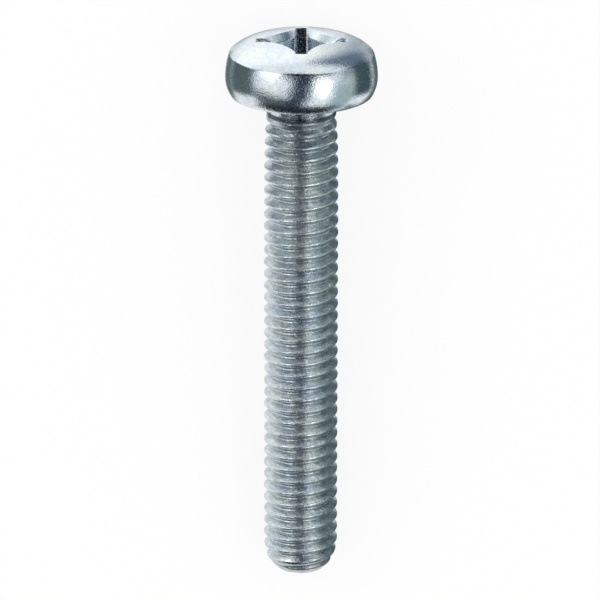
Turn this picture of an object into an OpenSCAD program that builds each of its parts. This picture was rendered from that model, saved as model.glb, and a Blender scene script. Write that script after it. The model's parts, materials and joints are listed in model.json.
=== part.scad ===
// A pan head machine screw with a cross recess, threaded right-handed up to a short neck.
// It is built upright with its bearing face at height zero, then laid down the way it comes
// to rest, on the widest part of its head and the last full crests of its thread.

/* [Head] */
// Diameter of the widest part of the head
head_d = 12; // [11:0.1:14]
// Height of the head, from its bearing face to the middle of its crown
head_h = 4.6; // [4:0.1:6]
// Height of the widest part above the bearing face
belt_h = 1.6; // [1.1:0.1:2.2]
// How far the edge of the bearing face lies inside the widest part
bearing_inset = 0.7; // [0.3:0.05:1]
// How far the crisp edge of the crown lies inside the widest part
rim_inset = 0.3; // [0.1:0.05:0.5]
// How far the crown rises above its crisp edge
crown_rise = 1.3; // [1:0.05:1.6]
// Radius of the nearly flat middle of the crown
crown_r = 25; // [20:1:40]
// Radius of the shoulder that turns the crown down to its edge
shoulder_r = 3.6; // [2.8:0.1:5]

/* [Recess] */
// Span over the tips of two opposite wings, measured at the middle of the crown
recess_span = 7.4; // [5.8:0.1:7.6]
// Width of a wing
wing_w = 0.86; // [0.6:0.02:1.1]
// Depth of the wings below the middle of the crown
wing_depth = 2.9; // [2:0.1:3.2]
// Slope of the wing tips, from the axis of the screw
wing_taper = 26.5; // [20:0.5:28]
// Slope of the conical floor, from a flat floor
floor_slope = 28; // [10:1:35]
// Distance from the axis to the lobes of metal between the wings, at the middle of the crown's height
lobe_reach = 2.3; // [2:0.05:2.6]
// Radius of those lobes, seen from above at the same height
lobe_r = 4.2; // [3.6:0.1:5]
// Depth to which the lobes are drawn in at the mouth of the recess
mouth_depth = 0.7; // [0.3:0.1:1]
// Slope of the lobes in that mouth, from the axis
mouth_slope = 35; // [20:1:50]
// Slope of the lobes below the mouth, from the axis
lobe_slope = 5.75; // [2:0.25:8]

/* [Shank] */
// Length of the shank, from the bearing face to the tip
shank_l = 40; // [12:1:60]
// Diameter of the plain neck, the same as the rolled blank
neck_d = 5.3; // [5.2:0.02:5.5]
// Length of the neck, from the bearing face to the first trace of thread
neck_l = 1.1; // [1:0.1:3]
// Radius of the fillet between the neck and the bearing face
fillet_r = 0.4; // [0.35:0.05:0.5]
// Diameter of the flat end of the tip
tip_d = 3.6; // [3:0.1:4.4]
// Slope of the chamfer at the tip, from the axis
tip_slope = 45; // [35:1:55]

/* [Thread] */
// Diameter over the crests
thread_d = 5.9; // [5.8:0.02:6]
// Distance between turns
pitch = 1; // [0.75:0.05:1.25]
// Depth from the crests to the roots
thread_depth = 0.61; // [0.4:0.01:0.62]
// Width of the flat on the crests
crest_w = 0.13; // [0.08:0.01:0.2]
// Slope of each flank
flank_slope = 30; // [25:1:30]
// Length over which the thread grows to its full form below the neck
run_in = 1; // [0.5:0.1:2]
// Length over which the crests fade towards the tip
run_out = 1.3; // [0.5:0.1:2]
// Angle round the axis at which the thread begins
thread_start = -71; // [-180:1:180]

/* [Hidden] */

head_r = head_d / 2;
neck_r = neck_d / 2;
crest_r = thread_d / 2;
root_r = crest_r - thread_depth;
tip_r = tip_d / 2;
rim = [head_r - rim_inset, head_h - crown_rise];

// Arcs that leave the widest part upright, up to the rim and down to the bearing face
side_r = upright_arc_r(rim_inset, rim.y - belt_h);
under_r = upright_arc_r(bearing_inset, belt_h);

// The crown's two arcs meet in one slope, where a line joins their centres
crown_centre = [0, head_h - crown_r];
centres_gap = crown_r - shoulder_r;
rim_reach = norm(rim - crown_centre);
blend_turn = atan2(rim.x, rim.y - crown_centre.y)
    - acos((centres_gap ^ 2 + rim_reach ^ 2 - shoulder_r ^ 2) / (2 * centres_gap * rim_reach));
shoulder_centre = crown_centre + centres_gap * [sin(blend_turn), cos(blend_turn)];
rim_turn = atan2(rim.y - shoulder_centre.y, rim.x - shoulder_centre.x);

// Flat rows of the thread's section, in order up one turn
flank_w = thread_depth * tan(flank_slope);
root_w = pitch - crest_w - 2 * flank_w;
row_rise = [0, root_w, root_w + flank_w, root_w + flank_w + crest_w];
row_r = [root_r, root_r, crest_r, crest_r];
rows_per_turn = len(row_rise);

thread_sides = 28;
arc_step = 3;
seat_gap = 0.01;
seat_overlap = 0.15;
cut_clearance = 1;

// The neck's true cylinder ends one flank above the first trace of thread
neck_end = -(neck_l - flank_w - seat_overlap / 2);
thread_top = neck_end + seat_overlap;
last_row = rows_per_turn * ceil((shank_l + pitch + thread_top) / pitch);

// Tilt at which the head and the last full crests touch one flat surface
crest_end = shank_l - run_out - (neck_r - tip_r) / tan(tip_slope);
contact = [belt_h + crest_end, head_r - under_r - crest_r];
lying_tilt = atan2(contact.y, contact.x) + asin(under_r / norm(contact));

// Radius of an arc that starts upright and has come inwards by inset after rising by height
function upright_arc_r(inset, height) = (inset ^ 2 + height ^ 2) / (2 * inset);

function arc(centre, r, start, end) =
    let (steps = ceil(abs(end - start) / arc_step))
    [for (i = [0 : steps]) let (a = start + (end - start) * i / steps) centre + r * [cos(a), sin(a)]];

// Largest radius that the chamfer and the fading crests leave at a height above the tip
function tip_limit(rise) = min(
    tip_r + rise * tan(tip_slope),
    neck_r + (crest_r - neck_r) * (rise - (neck_r - tip_r) / tan(tip_slope)) / run_out
);

// Share of its full form that the thread has at a height
function formed(z) = min(1, max(0, (-neck_l - z) / run_in));

function row_z(row, i) =
    row_rise[row % rows_per_turn] - shank_l
    + pitch * (floor(row / rows_per_turn) + i / thread_sides - 1);

function thread_point(row, i) =
    let (z = min(thread_top, max(-shank_l, row_z(row, i))))
    let (collar_r = neck_r - seat_gap)
    let (full = collar_r + (row_r[row % rows_per_turn] - collar_r) * formed(z))
    let (r = min(full, tip_limit(z + shank_l)))
    let (a = thread_start + 360 * i / thread_sides)
    [r * cos(a), r * sin(a), z];

// A row joins the next turn's row after one round, and rests on an end where it would pass it
function corner(row, i) =
    i == thread_sides ? corner(row + rows_per_turn, 0)
    : row_z(row, i) <= -shank_l ? i
    : row_z(row, i) >= thread_top ? last_row * thread_sides + i
    : row * thread_sides + i;

module head_and_neck() {
    rotate_extrude($fn = 96)
        polygon(concat(
            [[0, neck_end], [neck_r, neck_end]],
            arc([neck_r + fillet_r, -fillet_r], fillet_r, 180, 90),
            arc([head_r - under_r, belt_h], under_r, -asin(belt_h / under_r), 0),
            arc([head_r - side_r, belt_h], side_r, arc_step, asin((rim.y - belt_h) / side_r)),
            arc(shoulder_centre, shoulder_r, rim_turn, 90 - blend_turn),
            arc(crown_centre, crown_r, 90 - blend_turn, 90)
        ));
}

module threaded_shank() {
    points = [
        for (row = [0 : last_row], i = [0 : thread_sides - 1]) thread_point(row, i)
    ];
    sides = [
        for (row = [0 : last_row - 1], i = [0 : thread_sides - 1])
            let (a = corner(row, i), b = corner(row, i + 1))
            let (c = corner(row + 1, i + 1), d = corner(row + 1, i))
            each [if (a != d) [a, d, b], if (b != c) [b, d, c]]
    ];
    tip = [for (i = [0 : thread_sides - 1]) i];
    top = [for (i = [1 : thread_sides]) (last_row + 1) * thread_sides - i];
    polyhedron(points, concat(sides, [tip, top]));
}

// One lobe of metal between two wings, in its quarter of the recess
module lobe() {
    mouth_r = lobe_r + mouth_depth * tan(mouth_slope);
    top_r = lobe_r - cut_clearance * tan(mouth_slope);
    foot_h = head_h - mouth_depth;
    rotate([0, 0, 45])
        translate([lobe_reach + lobe_r, 0, 0]) {
            translate([0, 0, foot_h])
                cylinder(h = mouth_depth + cut_clearance, r1 = mouth_r, r2 = top_r, $fn = 96);
            cylinder(h = foot_h, r1 = mouth_r + foot_h * tan(lobe_slope), r2 = mouth_r, $fn = 96);
        }
}

module cross_recess() {
    span_r = recess_span / 2;
    wing_floor_r = span_r - wing_depth * tan(wing_taper);
    wing_floor = head_h - wing_depth;
    deepest = wing_floor - wing_floor_r * tan(floor_slope);
    top = head_h + cut_clearance;
    top_r = span_r + cut_clearance * tan(wing_taper);
    intersection() {
        rotate_extrude($fn = 96)
            polygon([[0, deepest], [wing_floor_r, wing_floor], [top_r, top], [0, top]]);
        union() {
            for (turn = [0, 90])
                rotate([0, 0, turn])
                    translate([-top_r, -wing_w / 2, 0]) cube([2 * top_r, wing_w, top]);
            difference() {
                translate([-span_r, -span_r, 0]) cube([2 * span_r, 2 * span_r, top]);
                for (turn = [0 : 90 : 270]) rotate([0, 0, turn]) lobe();
            }
        }
    }
}

module screw() {
    color("silver")
        rotate([0, 90 - lying_tilt, 0])
            difference() {
                union() {
                    head_and_neck();
                    threaded_shank();
                }
                cross_recess();
            }
}

screw();
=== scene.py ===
"""The looks of a pan head machine screw that lies on a plain pale floor."""
import json
import math

import bpy
from mathutils import Matrix, Vector, noise


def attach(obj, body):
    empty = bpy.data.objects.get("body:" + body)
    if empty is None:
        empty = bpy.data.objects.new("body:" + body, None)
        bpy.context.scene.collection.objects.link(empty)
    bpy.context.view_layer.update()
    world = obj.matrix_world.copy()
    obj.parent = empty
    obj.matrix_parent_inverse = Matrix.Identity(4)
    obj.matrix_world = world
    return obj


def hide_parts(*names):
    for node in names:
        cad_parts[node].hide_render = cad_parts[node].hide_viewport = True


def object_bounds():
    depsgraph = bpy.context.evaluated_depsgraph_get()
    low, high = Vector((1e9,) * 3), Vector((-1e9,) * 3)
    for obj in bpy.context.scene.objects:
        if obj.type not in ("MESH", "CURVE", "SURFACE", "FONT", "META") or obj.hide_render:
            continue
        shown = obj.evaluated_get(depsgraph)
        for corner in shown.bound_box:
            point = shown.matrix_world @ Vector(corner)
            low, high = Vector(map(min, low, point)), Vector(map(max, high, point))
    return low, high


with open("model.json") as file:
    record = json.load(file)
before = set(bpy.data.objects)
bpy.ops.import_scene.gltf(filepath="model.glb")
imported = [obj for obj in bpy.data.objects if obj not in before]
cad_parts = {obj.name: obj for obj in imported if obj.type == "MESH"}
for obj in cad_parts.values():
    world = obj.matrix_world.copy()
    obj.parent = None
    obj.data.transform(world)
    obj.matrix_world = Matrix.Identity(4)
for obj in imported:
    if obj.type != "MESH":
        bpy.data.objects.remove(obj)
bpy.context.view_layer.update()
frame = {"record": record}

# The screw is given upright in millimetres: its bearing face at height zero, its head up
MM = 0.001

# Head
HEAD_R = 6.0
HEAD_H = 4.6
BELT_H = 1.4
BEARING_INSET = 0.42
RIM_INSET = 0.3
CROWN_RISE = 1.3
CROWN_R = 25.0
SHOULDER_R = 3.6
BEARING_EDGE = 0.08
RIM_EDGE = 0.1

# Recess
RECESS_SPAN = 7.4
WING_W = 0.9
WING_DEPTH = 2.9
WING_TAPER = 26.5
FLOOR_SLOPE = 28.0
LOBE_REACH = 2.3
LOBE_R = 4.2
MOUTH_DEPTH = 0.7
MOUTH_SLOPE = 35.0
LOBE_SLOPE = 5.75
WING_CORNER_R = 0.05
LOBE_EASE = 0.1
MOUTH_EDGE = 0.1

# Shank and thread
SHANK_L = 40.0
BLANK_R = 2.65
NECK_R = 2.76
NECK_L = 1.5
FILLET_R = 0.5
TIP_R = 1.8
TIP_SLOPE = 45.0
CREST_R = 2.95
PITCH = 1.0
THREAD_DEPTH = 0.58
CREST_W = 0.17
FLANK_SLOPE = 30.0
RUN_OUT = 1.3
THREAD_START = -71.0
CREST_EDGE_R = 0.08
TIP_EDGE = 0.12
CHAMFER_EASE = 0.05
FADE_EASE = 0.03

# Below the neck the grooves deepen evenly, and the crests start later and grow ever more slowly
RUN_IN = 1.1
CREST_START = 0.6
CREST_GROWTH = 1.5

# The most that the crests are worn, and the scale of the noise that the wear follows
CREST_WEAR = 0.02
WEAR_SCALE = 3

# Mesh density
COLUMNS = 128
EIGHTH = COLUMNS // 8
WING_TIP_COLUMNS = 4
ARC_STEP = 4.0
EDGE_STEPS = 4
SETTLE_ROUNDS = 24

# Places of the mesh's rings, as shares of the way over each surface
BEARING_SHARES = (0.33, 0.66)
CROWN_SHARES = (0.17, 0.34, 0.5, 0.66, 0.8, 0.9, 0.96, 1.0)
MOUTH_SHARES = (0.25, 0.5, 0.75, 0.9, 1.0)
WALL_SHARES = (0.03, 0.15, 0.3, 0.45, 0.6, 0.75, 0.9, 1.0)
FLOOR_SHARES = (0.9, 0.7, 0.5, 0.3, 0.12)

# Where parts of the mesh meet: a round ring on the crown, a ring on the neck so far above its end,
# and a ring on the flat end so far in from its edge
CROWN_RING_R = 4.6
NECK_MARGIN = 0.2
END_SPAN = 1.1


def tan_deg(angle):
    return math.tan(math.radians(angle))


def arc(centre, radius, start, end):
    """Points along an arc, as (radius from the axis, height), between two angles in degrees."""
    steps = max(1, math.ceil(abs(end - start) / ARC_STEP))
    angles = [math.radians(start + (end - start) * i / steps) for i in range(steps + 1)]
    return [(centre[0] + radius * math.cos(a), centre[1] + radius * math.sin(a)) for a in angles]


def eased_corner(before, corner, after):
    """Points that round a corner between two points beside it."""
    made = []
    for i in range(EDGE_STEPS + 1):
        t = i / EDGE_STEPS
        shares = ((1 - t) ** 2, 2 * t * (1 - t), t ** 2)
        made.append(tuple(sum(s * p[n] for s, p in zip(shares, (before, corner, after)))
                          for n in range(len(before))))
    return made


def soft_min(a, b, ease):
    return (a + b - math.sqrt((a - b) ** 2 + ease ** 2)) / 2


def soft_max(a, b, ease):
    return -soft_min(-a, -b, ease)


def upright_arc_r(inset, height):
    """Radius of an arc that starts upright and is inset by so much after rising by height."""
    return (inset ** 2 + height ** 2) / (2 * inset)


class Crown:
    """The top of the head: a nearly flat middle and a shoulder that turns down to the rim."""

    def __init__(self):
        self.rim = Vector((HEAD_R - RIM_INSET, HEAD_H - CROWN_RISE))
        self.centre = Vector((0, HEAD_H - CROWN_R))
        gap = CROWN_R - SHOULDER_R
        reach = (self.rim - self.centre).length
        cosine = (gap ** 2 + reach ** 2 - SHOULDER_R ** 2) / (2 * gap * reach)
        self.turn = math.atan2(self.rim.x, self.rim.y - self.centre.y) - math.acos(cosine)
        self.shoulder = self.centre + gap * Vector((math.sin(self.turn), math.cos(self.turn)))
        to_rim = self.rim - self.shoulder
        self.rim_turn = math.degrees(math.atan2(to_rim.y, to_rim.x))
        self.blend_r = CROWN_R * math.sin(self.turn)

    def z(self, r):
        if r <= self.blend_r:
            return self.centre.y + math.sqrt(CROWN_R ** 2 - r ** 2)
        return self.shoulder.y + math.sqrt(SHOULDER_R ** 2 - (r - self.shoulder.x) ** 2)


CROWN = Crown()


def underside_profile():
    """The outline from the neck over the fillet and the bearing face to the widest part."""
    under_r = upright_arc_r(BEARING_INSET, BELT_H)
    start = -math.degrees(math.asin(BELT_H / under_r))
    bearing_r = HEAD_R - BEARING_INSET
    fillet = arc((NECK_R + FILLET_R, -FILLET_R), FILLET_R, 180, 90)
    bearing = [(NECK_R + FILLET_R + (bearing_r - NECK_R - FILLET_R) * t, 0.0)
               for t in BEARING_SHARES]
    under_arc = arc((HEAD_R - under_r, BELT_H), under_r,
                    start + math.degrees(BEARING_EDGE / under_r), 0)
    edge = eased_corner((bearing_r - BEARING_EDGE, 0.0), (bearing_r, 0.0), under_arc[0])
    return fillet + bearing + edge[:-1] + under_arc


def side_profile():
    """The outline from above the widest part over the rim to the crown's round ring."""
    side_r = upright_arc_r(RIM_INSET, CROWN.rim.y - BELT_H)
    rim_start = math.degrees(math.asin((CROWN.rim.y - BELT_H) / side_r))
    side_arc = arc((HEAD_R - side_r, BELT_H), side_r,
                   0, rim_start - math.degrees(RIM_EDGE / side_r))
    ring_turn = math.degrees(math.acos((CROWN_RING_R - CROWN.shoulder.x) / SHOULDER_R))
    shoulder_arc = arc(tuple(CROWN.shoulder), SHOULDER_R,
                       CROWN.rim_turn + math.degrees(RIM_EDGE / SHOULDER_R), ring_turn)
    rim_edge = eased_corner(side_arc[-1], tuple(CROWN.rim), shoulder_arc[0])
    return side_arc[1:-1] + rim_edge[:-1] + shoulder_arc


LOBE_CENTRE = (LOBE_REACH + LOBE_R) / math.sqrt(2)
MOUTH_FOOT = HEAD_H - MOUTH_DEPTH
WING_FLOOR = HEAD_H - WING_DEPTH
WING_FLOOR_R = RECESS_SPAN / 2 - WING_DEPTH * tan_deg(WING_TAPER)


def wing_reach(z):
    return RECESS_SPAN / 2 - (HEAD_H - z) * tan_deg(WING_TAPER)


def lobe_r(z):
    if z >= MOUTH_FOOT:
        return LOBE_R + (HEAD_H - z) * tan_deg(MOUTH_SLOPE)
    return LOBE_R + MOUTH_DEPTH * tan_deg(MOUTH_SLOPE) + (MOUTH_FOOT - z) * tan_deg(LOBE_SLOPE)


def eighth_of_outline(column, z):
    """A point of the recess's outline at a height, from a wing's middle to the middle of a lobe."""
    reach, radius, half = wing_reach(z), lobe_r(z), WING_W / 2
    if column == 0:
        return reach, 0.0
    start = reach - WING_CORNER_R
    if column <= WING_TIP_COLUMNS:
        turn = math.radians(90 * (column - 1) / (WING_TIP_COLUMNS - 1))
        return (start + WING_CORNER_R * math.cos(turn),
                half - WING_CORNER_R + WING_CORNER_R * math.sin(turn))
    near = LOBE_CENTRE - radius / math.sqrt(2)
    if column == EIGHTH:
        return near, near
    x = start + (near - start) * (column - WING_TIP_COLUMNS) / (EIGHTH - WING_TIP_COLUMNS)
    lobe = LOBE_CENTRE - math.sqrt(max(0.0, radius ** 2 - (x - LOBE_CENTRE) ** 2))
    ease = LOBE_EASE * min(1.0, (column - WING_TIP_COLUMNS) / WING_TIP_COLUMNS)
    return x, soft_max(lobe, half, ease)


def outline_point(column, z):
    """The same for any column round the recess."""
    eighth, step = divmod(column, EIGHTH)
    x, y = eighth_of_outline(step if eighth % 2 == 0 else EIGHTH - step, z)
    if eighth % 2:
        x, y = y, x
    turn = Matrix.Rotation(math.radians(90 * (eighth // 2)), 2)
    return turn @ Vector((x, y))


def floor_z(r):
    return WING_FLOOR - (WING_FLOOR_R - r) * tan_deg(FLOOR_SLOPE)


def settle(column, surface_z, z):
    """The height at which a column of the recess's wall meets a surface, found by repeating."""
    for _ in range(SETTLE_ROUNDS):
        z = surface_z(outline_point(column, z).length)
    return z


def wall_point(column, z):
    p = outline_point(column, z)
    return Vector((p.x, p.y, z))


def turns_round():
    return [2 * math.pi * c / COLUMNS for c in range(COLUMNS)]


def ring_xy(radius):
    return [Vector((radius * math.cos(a), radius * math.sin(a))) for a in turns_round()]


def lip_xy(mouth):
    """The ring just outside the mouth of the recess, seen from above."""
    lip = []
    for c, p in enumerate(mouth):
        along = mouth[(c + 1) % COLUMNS] - mouth[c - 1]
        out = Vector((along.y, -along.x)).normalized() * MOUTH_EDGE
        lip.append(Vector((p.x + out.x, p.y + out.y)))
    return lip


def crown_rings(mouth_z):
    """Rings from the crown's round ring in to the recess, and over the edge of its mouth."""
    mouth = [wall_point(c, z) for c, z in enumerate(mouth_z)]
    outer, lip = ring_xy(CROWN_RING_R), lip_xy(mouth)
    rings = []
    for share in CROWN_SHARES:
        flat = [a.lerp(b, share) for a, b in zip(outer, lip)]
        rings.append([Vector((p.x, p.y, CROWN.z(p.length))) for p in flat])
    below = [wall_point(c, z - MOUTH_EDGE) for c, z in enumerate(mouth_z)]
    eased = [eased_corner(tuple(a), tuple(b), tuple(e))
             for a, b, e in zip(rings[-1], mouth, below)]
    for i in range(1, EDGE_STEPS + 1):
        rings.append([Vector(points[i]) for points in eased])
    return rings


def recess_rings(mouth_z):
    """Rings from just below the mouth of the recess down its wall and in over its floor."""
    foot_z = [settle(c, floor_z, WING_FLOOR) for c in range(COLUMNS)]
    below = [wall_point(c, z - MOUTH_EDGE) for c, z in enumerate(mouth_z)]
    rings = []
    for share in MOUTH_SHARES:
        rings.append([wall_point(c, p.z + (MOUTH_FOOT - p.z) * share)
                      for c, p in enumerate(below)])
    for share in WALL_SHARES:
        rings.append([wall_point(c, MOUTH_FOOT + (z - MOUTH_FOOT) * share)
                      for c, z in enumerate(foot_z)])
    foot = rings[-1]
    for share in FLOOR_SHARES:
        flat = [Vector((p.x, p.y)) * share for p in foot]
        rings.append([Vector((p.x, p.y, floor_z(p.length))) for p in flat])
    return rings


def thread_rows():
    """One turn of the thread's section as (height, radius), with a rounded root and eased crest."""
    root = CREST_R - THREAD_DEPTH
    flank_w = THREAD_DEPTH * tan_deg(FLANK_SLOPE)
    root_w = PITCH - CREST_W - 2 * flank_w
    steep = 90 - FLANK_SLOPE
    sine, sunk = math.sin(math.radians(steep)), 1 - math.cos(math.radians(steep))
    root_arc_r = root_w / 2 / (sine - sunk * tan_deg(FLANK_SLOPE))
    rows = []
    for turn in (-steep, -steep / 2, 0, steep / 2, steep):
        a = math.radians(turn)
        rows.append((root_w / 2 + root_arc_r * math.sin(a), root + root_arc_r * (1 - math.cos(a))))
    crest_mid = root_w + flank_w + CREST_W / 2
    shoulder = CREST_W / 2 - CREST_EDGE_R * tan_deg(steep / 2)
    for side, turns in ((-1, (steep, steep / 2, 0)), (1, (0, steep / 2, steep))):
        for turn in turns:
            a = math.radians(turn)
            rows.append((crest_mid + side * (shoulder + CREST_EDGE_R * math.sin(a)),
                         CREST_R - CREST_EDGE_R * (1 - math.cos(a))))
    return rows


ROWS = thread_rows()


def tip_limit(rise):
    """The radius that the chamfer and the fading crests leave at a height above the tip."""
    chamfer_h = (BLANK_R - TIP_R) / tan_deg(TIP_SLOPE)
    fading = BLANK_R + (CREST_R - BLANK_R) * (rise - chamfer_h) / RUN_OUT
    return soft_min(TIP_R + rise * tan_deg(TIP_SLOPE), fading, CHAMFER_EASE)


def thread_r(z, radius, turn):
    """The radius to which wear and the run-in bring a point of the thread's section."""
    below_neck = max(0.0, -NECK_L - z)
    place = (WEAR_SCALE * math.cos(turn), WEAR_SCALE * math.sin(turn), WEAR_SCALE * z)
    wear = CREST_WEAR * (0.5 + 0.5 * noise.noise(place))
    crest = max(0.0, radius - NECK_R) * (1 - wear / (CREST_R - NECK_R))
    groove = min(0.0, radius - NECK_R)
    grown = 1 - math.exp(-max(0.0, below_neck - CREST_START) / CREST_GROWTH)
    return NECK_R + crest * grown + groove * min(1.0, below_neck / RUN_IN)


def shank_point(rise, radius, turn):
    """A point of the shank. A rise below zero lies on the flat end, as far in from its edge."""
    if rise >= TIP_EDGE:
        height = rise
        r = soft_min(thread_r(rise - SHANK_L, radius, turn), tip_limit(rise), FADE_EASE)
    elif rise > -TIP_EDGE:
        t = (rise + TIP_EDGE) / (2 * TIP_EDGE)
        edge_r = TIP_R + TIP_EDGE * tan_deg(TIP_SLOPE)
        height = t ** 2 * TIP_EDGE
        r = (1 - t) ** 2 * (TIP_R - TIP_EDGE) + 2 * t * (1 - t) * TIP_R + t ** 2 * edge_r
    else:
        height = 0.0
        r = TIP_R + rise
    return Vector((r * math.cos(turn), r * math.sin(turn), height - SHANK_L))


class Skin:
    """A mesh in the making: points, and faces between them."""

    def __init__(self):
        self.points, self.faces = [], []

    def add(self, point):
        self.points.append(Vector(point))
        return len(self.points) - 1

    def add_ring(self, points):
        return [self.add(p) for p in points]

    def face(self, *corners):
        unique = list(dict.fromkeys(corners))
        if len(unique) > 2:
            self.faces.append(unique)

    def bridge(self, low, high):
        for c in range(len(low)):
            n = (c + 1) % len(low)
            self.face(low[c], low[n], high[n], high[c])

    def close(self, ring, point):
        pole = self.add(point)
        for c in range(len(ring)):
            self.face(ring[c], ring[(c + 1) % len(ring)], pole)


def add_shank(skin):
    """Adds the tip, the thread and the start of the neck, and gives the ring that ends them."""
    per_turn = len(ROWS)
    top_rise = SHANK_L - (NECK_L - NECK_MARGIN)
    phase = -THREAD_START / 360 * PITCH
    lowest = -PITCH * math.ceil(END_SPAN / PITCH + 1)
    turns = math.ceil((top_rise - lowest) / PITCH) + 1

    def rise(row, column):
        turn, item = divmod(row, per_turn)
        return lowest + ROWS[item][0] + PITCH * (turn + column / COLUMNS) + phase % PITCH

    angles = turns_round()
    low_ring = skin.add_ring([shank_point(-END_SPAN, ROWS[0][1], a) for a in angles])
    high_ring = skin.add_ring([shank_point(top_rise, ROWS[0][1], a) for a in angles])
    known = {}

    def corner(row, column):
        if column == COLUMNS:
            return corner(row + per_turn, 0)
        height = rise(row, column)
        if height <= -END_SPAN:
            return low_ring[column]
        if height >= top_rise:
            return high_ring[column]
        if (row, column) not in known:
            point = shank_point(height, ROWS[row % per_turn][1], angles[column])
            known[row, column] = skin.add(point)
        return known[row, column]

    for row in range(per_turn * turns):
        for column in range(COLUMNS):
            skin.face(corner(row, column), corner(row, column + 1),
                      corner(row + 1, column + 1), corner(row + 1, column))
    skin.close(low_ring[::-1], (0, 0, -SHANK_L))
    return high_ring


def add_head(skin, ring):
    """Adds the head and its recess above the ring that ends the shank."""
    mouth_z = [settle(c, CROWN.z, HEAD_H) for c in range(COLUMNS)]
    sides = [[(p.x, p.y, z) for p in ring_xy(r)] for r, z in underside_profile() + side_profile()]
    for points in sides + crown_rings(mouth_z) + recess_rings(mouth_z):
        above = skin.add_ring(points)
        skin.bridge(ring, above)
        ring = above
    skin.close(ring, (0, 0, floor_z(0)))


def build_screw():
    skin = Skin()
    add_head(skin, add_shank(skin))
    mesh = bpy.data.meshes.new("dressed_screw")
    mesh.from_pydata([p * MM for p in skin.points], [], skin.faces)
    mesh.validate()
    for polygon in mesh.polygons:
        polygon.use_smooth = True
    screw = bpy.data.objects.new("dressed_screw", mesh)
    bpy.context.scene.collection.objects.link(screw)
    smooth = screw.modifiers.new("smooth", "WEIGHTED_NORMAL")
    smooth.keep_sharp = True
    return screw


def lying_axes():
    """Directions along the axis to the head, level across it, and square to both and up."""
    mounts = {m["name"]: m for m in frame["record"]["mounts"]}
    axis = -Vector(mounts["bearing_face"]["axis"]).normalized()
    across = Vector((0, 1, 0))
    return axis, across, axis.cross(across)


AXIS, ACROSS, OUT = lying_axes()
# From the upright screw to the lying one, whose lower side was the upright one's X side
LYING = Matrix((-OUT, ACROSS, AXIS)).transposed()


def lay_down(screw):
    """Turns the upright mesh to the way that the solid lies."""
    screw.data.transform(LYING.to_4x4())


# Camera, as the photograph was taken: degrees, and millimetres from the bearing face
VIEW_ELEVATION = 19.6
VIEW_ROLL = 0.1
VIEW_DISTANCE = 450.0
VIEW_TARGET_Z = -17.24
VIEW_SIDE = 0.08
SENSOR = 36.0
LENS = 339.4
CLIP_START = 0.01
CLIP_END = 10


def make_camera():
    e = math.radians(VIEW_ELEVATION)
    towards = math.cos(e) * OUT + math.sin(e) * AXIS
    up = math.cos(e) * AXIS - math.sin(e) * OUT
    right = up.cross(towards)
    data = bpy.data.cameras.new("camera")
    data.sensor_width = SENSOR
    data.lens = LENS
    data.clip_start = CLIP_START
    data.clip_end = CLIP_END
    camera = bpy.data.objects.new("camera", data)
    target = AXIS * VIEW_TARGET_Z * MM
    place = target + towards * VIEW_DISTANCE * MM - right * VIEW_SIDE * MM
    roll = Matrix.Rotation(math.radians(VIEW_ROLL), 3, "Z")
    turn = Matrix((right, up, towards)).transposed() @ roll
    camera.matrix_world = Matrix.Translation(place) @ turn.to_4x4()
    bpy.context.scene.collection.objects.link(camera)
    bpy.context.scene.camera = camera


WHITE = (1, 1, 1, 1)


class Nodes:
    """Short calls that add nodes to one tree and link them."""

    def __init__(self, tree):
        self.tree = tree

    def add(self, kind, **settings):
        node = self.tree.nodes.new(kind)
        for name, value in settings.items():
            setattr(node, name, value)
        return node

    def feed(self, socket, value):
        if isinstance(value, bpy.types.NodeSocket):
            self.tree.links.new(value, socket)
        else:
            socket.default_value = value

    def show(self, surface):
        """Makes this the surface of the material."""
        self.feed(self.tree.nodes["Material Output"].inputs["Surface"], surface)

    def math(self, operation, *values):
        node = self.add("ShaderNodeMath", operation=operation)
        for socket, value in zip(node.inputs, values):
            self.feed(socket, value)
        return node.outputs[0]

    def upright(self):
        """Place on the upright screw, in millimetres."""
        node = self.add("ShaderNodeMapping", vector_type="TEXTURE")
        self.feed(node.inputs["Vector"], self.add("ShaderNodeTexCoord").outputs["Object"])
        node.inputs["Rotation"].default_value = LYING.to_euler()
        node.inputs["Scale"].default_value = (MM, MM, MM)
        return node.outputs[0]

    def parts(self, vector):
        node = self.add("ShaderNodeSeparateXYZ")
        self.feed(node.inputs[0], vector)
        return node.outputs

    def scaled(self, vector, scale):
        node = self.add("ShaderNodeVectorMath", operation="MULTIPLY")
        self.feed(node.inputs[0], vector)
        node.inputs[1].default_value = scale
        return node.outputs[0]

    def noise(self, vector, scale, detail=2.0, roughness=0.5):
        node = self.add("ShaderNodeTexNoise")
        self.feed(node.inputs["Vector"], vector)
        node.inputs["Scale"].default_value = scale
        node.inputs["Detail"].default_value = detail
        node.inputs["Roughness"].default_value = roughness
        return node.outputs["Fac"]

    def remap(self, value, start, end, low=0.0, high=1.0):
        node = self.add("ShaderNodeMapRange", interpolation_type="SMOOTHSTEP")
        for name, given in (("Value", value), ("From Min", start), ("From Max", end),
                            ("To Min", low), ("To Max", high)):
            self.feed(node.inputs[name], given)
        return node.outputs["Result"]

    def mix(self, share, a, b, blend="MIX"):
        node = self.add("ShaderNodeMix", data_type="RGBA", blend_type=blend)
        self.feed(node.inputs["Factor"], share)
        self.feed(node.inputs[6], a)
        self.feed(node.inputs[7], b)
        return node.outputs[2]

    def mix_shaders(self, share, a, b):
        node = self.add("ShaderNodeMixShader")
        self.feed(node.inputs["Fac"], share)
        self.feed(node.inputs[1], a)
        self.feed(node.inputs[2], b)
        return node.outputs[0]

    def bump(self, height, depth, normal=None):
        node = self.add("ShaderNodeBump")
        node.inputs["Distance"].default_value = depth * MM
        self.feed(node.inputs["Height"], height)
        if normal:
            self.feed(node.inputs["Normal"], normal)
        return node.outputs["Normal"]


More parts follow.
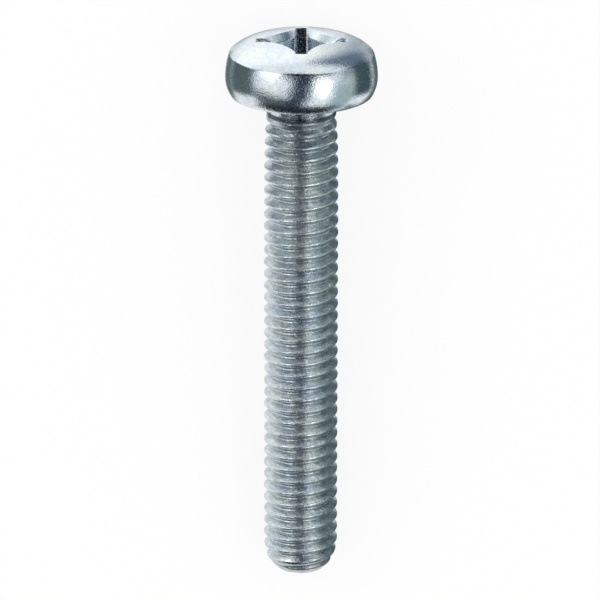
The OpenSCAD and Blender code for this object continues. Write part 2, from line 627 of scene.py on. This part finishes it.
# Zinc plate: its noises, on places in millimetres, and the range of each noise that counts
PATCHES = {"scale": 0.55, "detail": 3.0}
PATCH_RANGE = (0.35, 0.65)
MOTTLE = {"scale": 3.2, "detail": 3.0, "roughness": 0.6}
MOTTLE_RANGE = (0.3, 0.7)
STREAKS = {"scale": 0.9, "detail": 3.0, "roughness": 0.6}
STREAK_STRETCH = (1, 1, 9)
STREAK_RANGE = (0.3, 0.65)
SPECKS = {"scale": 6.0, "detail": 1.0}
SPECK_RANGE = (0.52, 0.66)
GRAIN = {"scale": 8.0, "detail": 2.0, "roughness": 0.55}
DENTS = {"scale": 1.0, "detail": 2.0, "roughness": 0.6}
DENT_STRETCH = (2.2, 2.2, 5)

# Its colours and shades
ZINC_BLUE = (0.71, 0.8, 0.88, 1)
ZINC_GREY = (0.79, 0.86, 0.86, 1)
# Painted shade: a dark ring at the neck's foot, darkening the neck as shade would and dimming its
# highlight
NECK_FOOT_SHADE = (0.2, 0.22, 0.24, 1)
MOTTLE_SHADE = 0.86
STREAK_SHADE = 0.72
# Painted shade: the bottom of the thread's grooves is darker, as shade would make it
ROOT_PAINTED_SHADE = 0.8

# Its roughness, and the depths of its bumps in millimetres
HEAD_ROUGHNESS = 0.15
THREAD_ROUGHNESS = 0.28
SPECK_ROUGHNESS = 0.1
MOTTLE_ROUGHNESS = (0.06, -0.04)
GRAIN_DEPTH = 0.016
DENT_DEPTH = 0.05

# Heights over which the thread's look comes in and the neck's painted dark ring comes and goes,
# and radii over which the painted shade at the bottom of the thread's grooves goes
ON_THREAD = (-1.2, -1.7)
FOOT_SHADE_BEGINS = (-1.2, -1.36)
FOOT_SHADE_ENDS = (-1.76, -1.6)
ROOT_RADII = (2.34, 2.8)


def painted_neck_shade(nodes, z):
    """White, but for a dark ring of painted shade at the foot of the neck."""
    in_shade_ring = nodes.math("MULTIPLY", nodes.remap(z, *FOOT_SHADE_BEGINS), nodes.remap(z, *FOOT_SHADE_ENDS))
    return nodes.mix(in_shade_ring, WHITE, NECK_FOOT_SHADE)


def plate_colour(nodes, place, mottle, on_thread):
    """Zinc in two tints, darker in spots and streaks, with painted shade at the bottom of the
    thread's grooves and in a ring at the neck's foot.
    """
    x, y, z = nodes.parts(place)
    squares = nodes.math("ADD", nodes.math("MULTIPLY", x, x), nodes.math("MULTIPLY", y, y))
    radius = nodes.math("SQRT", squares)
    patches = nodes.noise(place, **PATCHES)
    streaks = nodes.noise(nodes.scaled(place, STREAK_STRETCH), **STREAKS)

    colour = nodes.mix(nodes.remap(patches, *PATCH_RANGE), ZINC_BLUE, ZINC_GREY)
    spots = nodes.remap(mottle, *MOTTLE_RANGE, MOTTLE_SHADE)
    lines = nodes.mix(on_thread, WHITE, nodes.remap(streaks, *STREAK_RANGE, STREAK_SHADE))
    painted_root_shade = nodes.mix(on_thread, WHITE, nodes.remap(radius, *ROOT_RADII, ROOT_PAINTED_SHADE))
    for shade in (spots, lines, painted_root_shade, painted_neck_shade(nodes, z)):
        colour = nodes.mix(1.0, colour, shade, "MULTIPLY")
    return colour


def plate_roughness(nodes, place, mottle, on_thread):
    """Smoother on the head than on the thread, and rougher in fine specks."""
    more = nodes.math("MULTIPLY", on_thread, THREAD_ROUGHNESS - HEAD_ROUGHNESS)
    base = nodes.math("ADD", HEAD_ROUGHNESS, more)
    rough = nodes.math("ADD", base, nodes.remap(mottle, *MOTTLE_RANGE, *MOTTLE_ROUGHNESS))
    specks = nodes.remap(nodes.noise(place, **SPECKS), *SPECK_RANGE)
    return nodes.math("ADD", rough, nodes.math("MULTIPLY", specks, SPECK_ROUGHNESS))


def plate_normal(nodes, place, on_thread):
    """Fine grain everywhere, and shallow dents along the thread."""
    grain = nodes.noise(place, **GRAIN)
    dents = nodes.noise(nodes.scaled(place, DENT_STRETCH), **DENTS)
    return nodes.bump(nodes.math("MULTIPLY", dents, on_thread), DENT_DEPTH,
                      nodes.bump(grain, GRAIN_DEPTH))


def zinc():
    material = bpy.data.materials.new("zinc_plate")
    material.use_nodes = True
    nodes = Nodes(material.node_tree)
    shader = material.node_tree.nodes["Principled BSDF"]
    place = nodes.upright()
    on_thread = nodes.remap(nodes.parts(place)[2], *ON_THREAD)
    mottle = nodes.noise(place, **MOTTLE)
    shader.inputs["Metallic"].default_value = 1
    nodes.feed(shader.inputs["Base Color"], plate_colour(nodes, place, mottle, on_thread))
    nodes.feed(shader.inputs["Roughness"], plate_roughness(nodes, place, mottle, on_thread))
    nodes.feed(shader.inputs["Normal"], plate_normal(nodes, place, on_thread))
    return material


# Floor and world
FLOOR_SIZE = 6
FLOOR_COLOUR = (0.93, 0.93, 0.93, 1)
FLOOR_ROUGHNESS = 0.9
FLOOR_GLOW = 0.82
SKY = 0.95


def seen_directly(nodes):
    """One for rays that show the surroundings as they are: camera, mirror and glass rays."""
    path = nodes.add("ShaderNodeLightPath")
    shown = nodes.math("MAXIMUM", path.outputs["Is Camera Ray"], path.outputs["Is Glossy Ray"])
    return nodes.math("MAXIMUM", shown, path.outputs["Is Transmission Ray"])


def pale_floor():
    """A material that takes the shadow, glows towards the camera and is open from below."""
    material = bpy.data.materials.new("floor")
    material.use_nodes = True
    nodes = Nodes(material.node_tree)
    shader = material.node_tree.nodes["Principled BSDF"]
    shader.inputs["Base Color"].default_value = FLOOR_COLOUR
    shader.inputs["Roughness"].default_value = FLOOR_ROUGHNESS
    shader.inputs["Specular IOR Level"].default_value = 0
    glow = nodes.add("ShaderNodeEmission").outputs[0]
    glowing = nodes.math("MULTIPLY", seen_directly(nodes), FLOOR_GLOW)
    surface = nodes.mix_shaders(glowing, shader.outputs[0], glow)
    from_below = nodes.math("MULTIPLY",
                            nodes.add("ShaderNodeNewGeometry").outputs["Backfacing"],
                            nodes.add("ShaderNodeLightPath").outputs["Is Camera Ray"])
    clear = nodes.add("ShaderNodeBsdfTransparent").outputs[0]
    nodes.show(nodes.mix_shaders(from_below, surface, clear))
    return material


def make_floor(height):
    bpy.ops.mesh.primitive_plane_add(size=FLOOR_SIZE, location=(0, 0, height))
    floor = bpy.context.object
    floor.name = "floor"
    floor.data.materials.append(pale_floor())


def light_world():
    """White where it is seen directly, and a little less as light."""
    world = bpy.data.worlds.new("studio")
    bpy.context.scene.world = world
    world.use_nodes = True
    nodes = Nodes(world.node_tree)
    background = world.node_tree.nodes["Background"]
    background.inputs["Color"].default_value = WHITE
    more = nodes.math("MULTIPLY", seen_directly(nodes), 1 - SKY)
    nodes.feed(background.inputs["Strength"], nodes.math("ADD", SKY, more))


# Lamps and round cards stand round a point of the axis, given in millimetres from the bearing face.
# The lamps' distance and sizes are in metres, their directions in degrees and powers in watts.
STUDIO_CENTRE = -6.0
LAMP_DISTANCE = 0.5
KEY = {"azimuth": 33, "elevation": -2, "size": 0.16, "power": 0.18}
FILL = {"azimuth": -50, "elevation": 22, "size": 0.2, "power": 0.26}
CARD_STEPS = 20


def heading(azimuth, elevation):
    """Direction from the screw, by degrees right of the camera's side and towards the head."""
    a, e = math.radians(azimuth), math.radians(elevation)
    return math.cos(e) * (math.cos(a) * OUT - math.sin(a) * ACROSS) + math.sin(e) * AXIS


def add_lamp(name, azimuth, elevation, size, power):
    data = bpy.data.lights.new(name, "AREA")
    data.size, data.energy = size, power
    lamp = bpy.data.objects.new(name, data)
    way = heading(azimuth, elevation)
    lamp.location = AXIS * STUDIO_CENTRE * MM + way * LAMP_DISTANCE
    lamp.rotation_euler = way.to_track_quat("Z", "Y").to_euler()
    bpy.context.scene.collection.objects.link(lamp)


def round_card(azimuths, elevations, distance, lean=0.0, dip=0.0):
    """Shape of a curved card round the screw: a place for each pair of shares, and its spans.

    Angles are in degrees and the distance is in metres. The card's top has moved round by lean,
    and its last side has risen by dip.
    """
    spans = (azimuths[1] - azimuths[0], elevations[1] - elevations[0])

    def place(u, v):
        way = heading(azimuths[0] + spans[0] * u + lean * v,
                      elevations[0] + spans[1] * v + dip * u)
        return AXIS * STUDIO_CENTRE * MM + way * distance

    return place, spans


def flat_card(corner, first, second):
    """Shape of a flat card from one corner along two edges, in millimetres above the floor."""
    corner, first, second = Vector(corner), Vector(first), Vector(second)

    def place(u, v):
        return Vector((0, 0, FLOOR_Z)) + (corner + first * u + second * v) * MM

    return place, (first.length, second.length)


def card_mesh(name, shape, fade):
    """A grid over the card that also holds how well each point covers, less near the edges."""
    place, spans = shape
    points, cover, faces = [], [], []
    side = CARD_STEPS + 1
    for i in range(side):
        for j in range(side):
            u, v = i / CARD_STEPS, j / CARD_STEPS
            points.append(place(u, v))
            edge = min(u * spans[0], (1 - u) * spans[0], v * spans[1], (1 - v) * spans[1])
            cover.append(min(1.0, edge / fade))
    for i in range(CARD_STEPS):
        for j in range(CARD_STEPS):
            n = i * side + j
            faces.append((n, n + 1, n + side + 1, n + side))
    mesh = bpy.data.meshes.new(name)
    mesh.from_pydata(points, [], faces)
    mesh.attributes.new("cover", "FLOAT", "POINT").data.foreach_set("value", cover)
    return mesh


# Painted reflection: an emission sheet in the card's colour that lights nothing and casts no shadow
def card_material(name, colour):
    material = bpy.data.materials.new(name)
    material.use_nodes = True
    nodes = Nodes(material.node_tree)
    glow = nodes.add("ShaderNodeEmission")
    glow.inputs["Color"].default_value = (*colour, 1)
    cover = nodes.add("ShaderNodeAttribute", attribute_name="cover").outputs["Fac"]
    clear = nodes.add("ShaderNodeBsdfTransparent").outputs[0]
    nodes.show(nodes.mix_shaders(cover, clear, glow.outputs[0]))
    return material


def add_card(name, shape, colour, fade):
    """A glowing card by the screw that only mirror rays see: a painted reflection in the metal, in
    the card's colour. Fade is in the unit of the card's spans.
    """
    card = bpy.data.objects.new(name, card_mesh(name, shape, fade))
    bpy.context.scene.collection.objects.link(card)
    card.data.materials.append(card_material(name, colour))
    for kind in ("camera", "diffuse", "shadow", "volume_scatter"):
        setattr(card, "visible_" + kind, False)


def add_round_cards():
    """Painted reflections: glowing cards that the head, the recess, the neck and the thread mirror,
    soft edges in degrees.
    """
    add_card("overhead", round_card((-43, -8), (-88, 26), 0.25, lean=33),
             (0.035, 0.05, 0.085), 3.0)
    add_card("overhead_front", round_card((-34, 24), (14, 70), 0.24),
             (0.008, 0.011, 0.014), 4.0)
    add_card("right_front", round_card((8, 60), (15, 46), 0.245),
             (0.15, 0.17, 0.18), 5.0)
    add_card("left_low", round_card((-78, -17), (-76, -4), 0.26, dip=-11),
             (0.1, 0.12, 0.135), 5.0)
    add_card("left_lower", round_card((-100, -17), (-88, -34), 0.255),
             (0.045, 0.055, 0.06), 12.0)
    add_card("right_middle", round_card((42, 92), (-64, 6), 0.26),
             (0.42, 0.5, 0.5), 8.0)
    add_card("right_upper", round_card((62, 92), (2, 30), 0.255),
             (0.15, 0.19, 0.2), 6.0)
    add_card("recess_right", round_card((70, 125), (10, 54), 0.25),
             (0.42, 0.5, 0.53), 6.0)
    add_card("recess_left", round_card((-125, -70), (10, 54), 0.25),
             (0.6, 0.68, 0.7), 6.0)
    # Painted dark reflection on the front of the neck
    add_card("neck_dark_reflection", round_card((-62, 66), (16, 30), 0.0083),
             (0.02, 0.025, 0.03), 3.0)
    add_card("beyond_tip", round_card((-180, 180), (-90, -54), 0.3),
             (0.025, 0.03, 0.035), 5.0)
    add_card("beyond_tip_left", round_card((-100, -5), (-90, -42), 0.24),
             (0.02, 0.025, 0.03), 6.0)
    add_card("beyond_tip_right", round_card((-8, 75), (-90, -42), 0.24),
             (0.02, 0.025, 0.03), 5.0)


def add_flat_cards():
    """Painted reflections: glowing cards that stand or lie on the floor beside the screw, seen only
    in the metal, soft edges in millimetres.
    """
    add_card("right_dark_reflection", flat_card((-70, -13, 0), (62, 0, 0), (0, 0, 7.8)),
             (0.08, 0.125, 0.135), 1.2)
    add_card("right_head_dark_reflection", flat_card((-4.5, -13.5, 0), (18.5, 0, 0), (0, 0, 11.3)),
             (0.06, 0.095, 0.105), 1.2)
    add_card("right_foot", flat_card((-48, -13, 0.1), (55, 0, 0), (0, 9.5, 0)),
             (0.1, 0.145, 0.15), 1.0)
    add_card("left_head_dark_reflection", flat_card((-4.5, 14, 0), (13.5, 0, 0), (0, 0, 13.8)),
             (0.1, 0.135, 0.14), 1.5)
    add_card("left_foot", flat_card((-6, 6.8, 0.1), (12, 0, 0), (0, 8.2, 0)),
             (0.12, 0.165, 0.17), 1.5)
    add_card("head_foot", flat_card((1.5, -7, 0.1), (4.2, 0, 0), (0, 14, 0)),
             (0.5, 0.55, 0.56), 1.0)
    # Painted dark reflection that darkens the right of the crown
    add_card("front_right_dark_reflection", flat_card((3, -70, 0.1), (70, 0, 0), (0, 68, 0)),
             (0.15, 0.195, 0.27), 6.0)
    # Painted highlight: a card brighter than white that the front of the crown mirrors in place of
    # lamplight
    add_card("front_left_painted_highlight", flat_card((5, -4, 0.1), (60, 0, 0), (0, 50, 0)),
             (1.28, 1.26, 1.27), 6.0)


screw = build_screw()
lay_down(screw)
screw.data.materials.append(zinc())
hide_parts("screw")
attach(screw, "root")
FLOOR_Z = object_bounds()[0].z
make_floor(FLOOR_Z)
light_world()
add_lamp("key", **KEY)
add_lamp("fill", **FILL)
add_round_cards()
add_flat_cards()
make_camera()
bpy.context.scene.view_settings.view_transform = "Standard"
